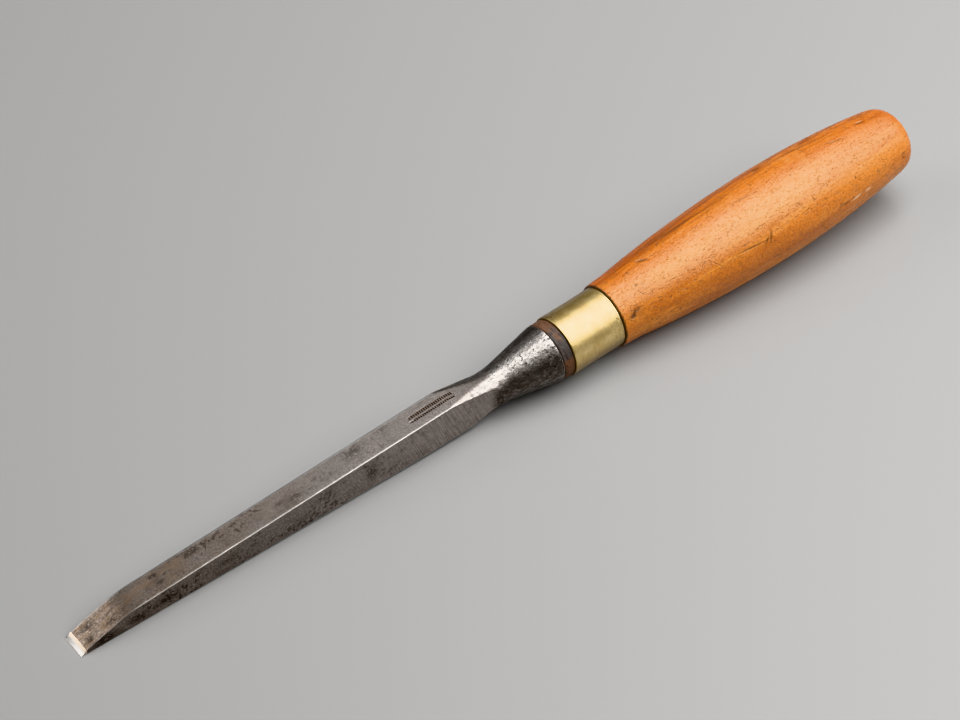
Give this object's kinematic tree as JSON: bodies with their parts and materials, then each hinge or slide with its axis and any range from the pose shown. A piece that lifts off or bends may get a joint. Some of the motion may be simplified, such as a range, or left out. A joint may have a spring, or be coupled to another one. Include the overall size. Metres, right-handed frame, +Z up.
{
  "type": "sash mortise chisel",
  "caption": "Long woodworking mortise chisel with a thick straight-edged steel blade, flared round bolster, leather washer, brass ferrule and turned boxwood handle.",
  "frame": {"origin": "middle of the bounding box's underside, on the bench on which the tool lies", "axes": "+X from the cutting edge to the handle's end, +Z up, bevel upwards; the handle's axis rises towards +X by the bench tilt"},
  "size_m": [0.358, 0.0344, 0.0362],
  "materials": {
    "tool_steel": "cross-ground old carbon steel with brown patina and dark spots, bright honed edge, polished bolster",
    "leather": "old compressed leather, dark brown with rusty patches",
    "brass": "satin, fine lengthwise and round scratches",
    "boxwood": "amber varnish over fine straight grain, worn and dented"
  },
  "bodies": {
    "root": {"blade": "tool_steel", "leather_washer": "leather", "ferrule": "brass", "handle": "boxwood"}
  },
  "joints": []
}
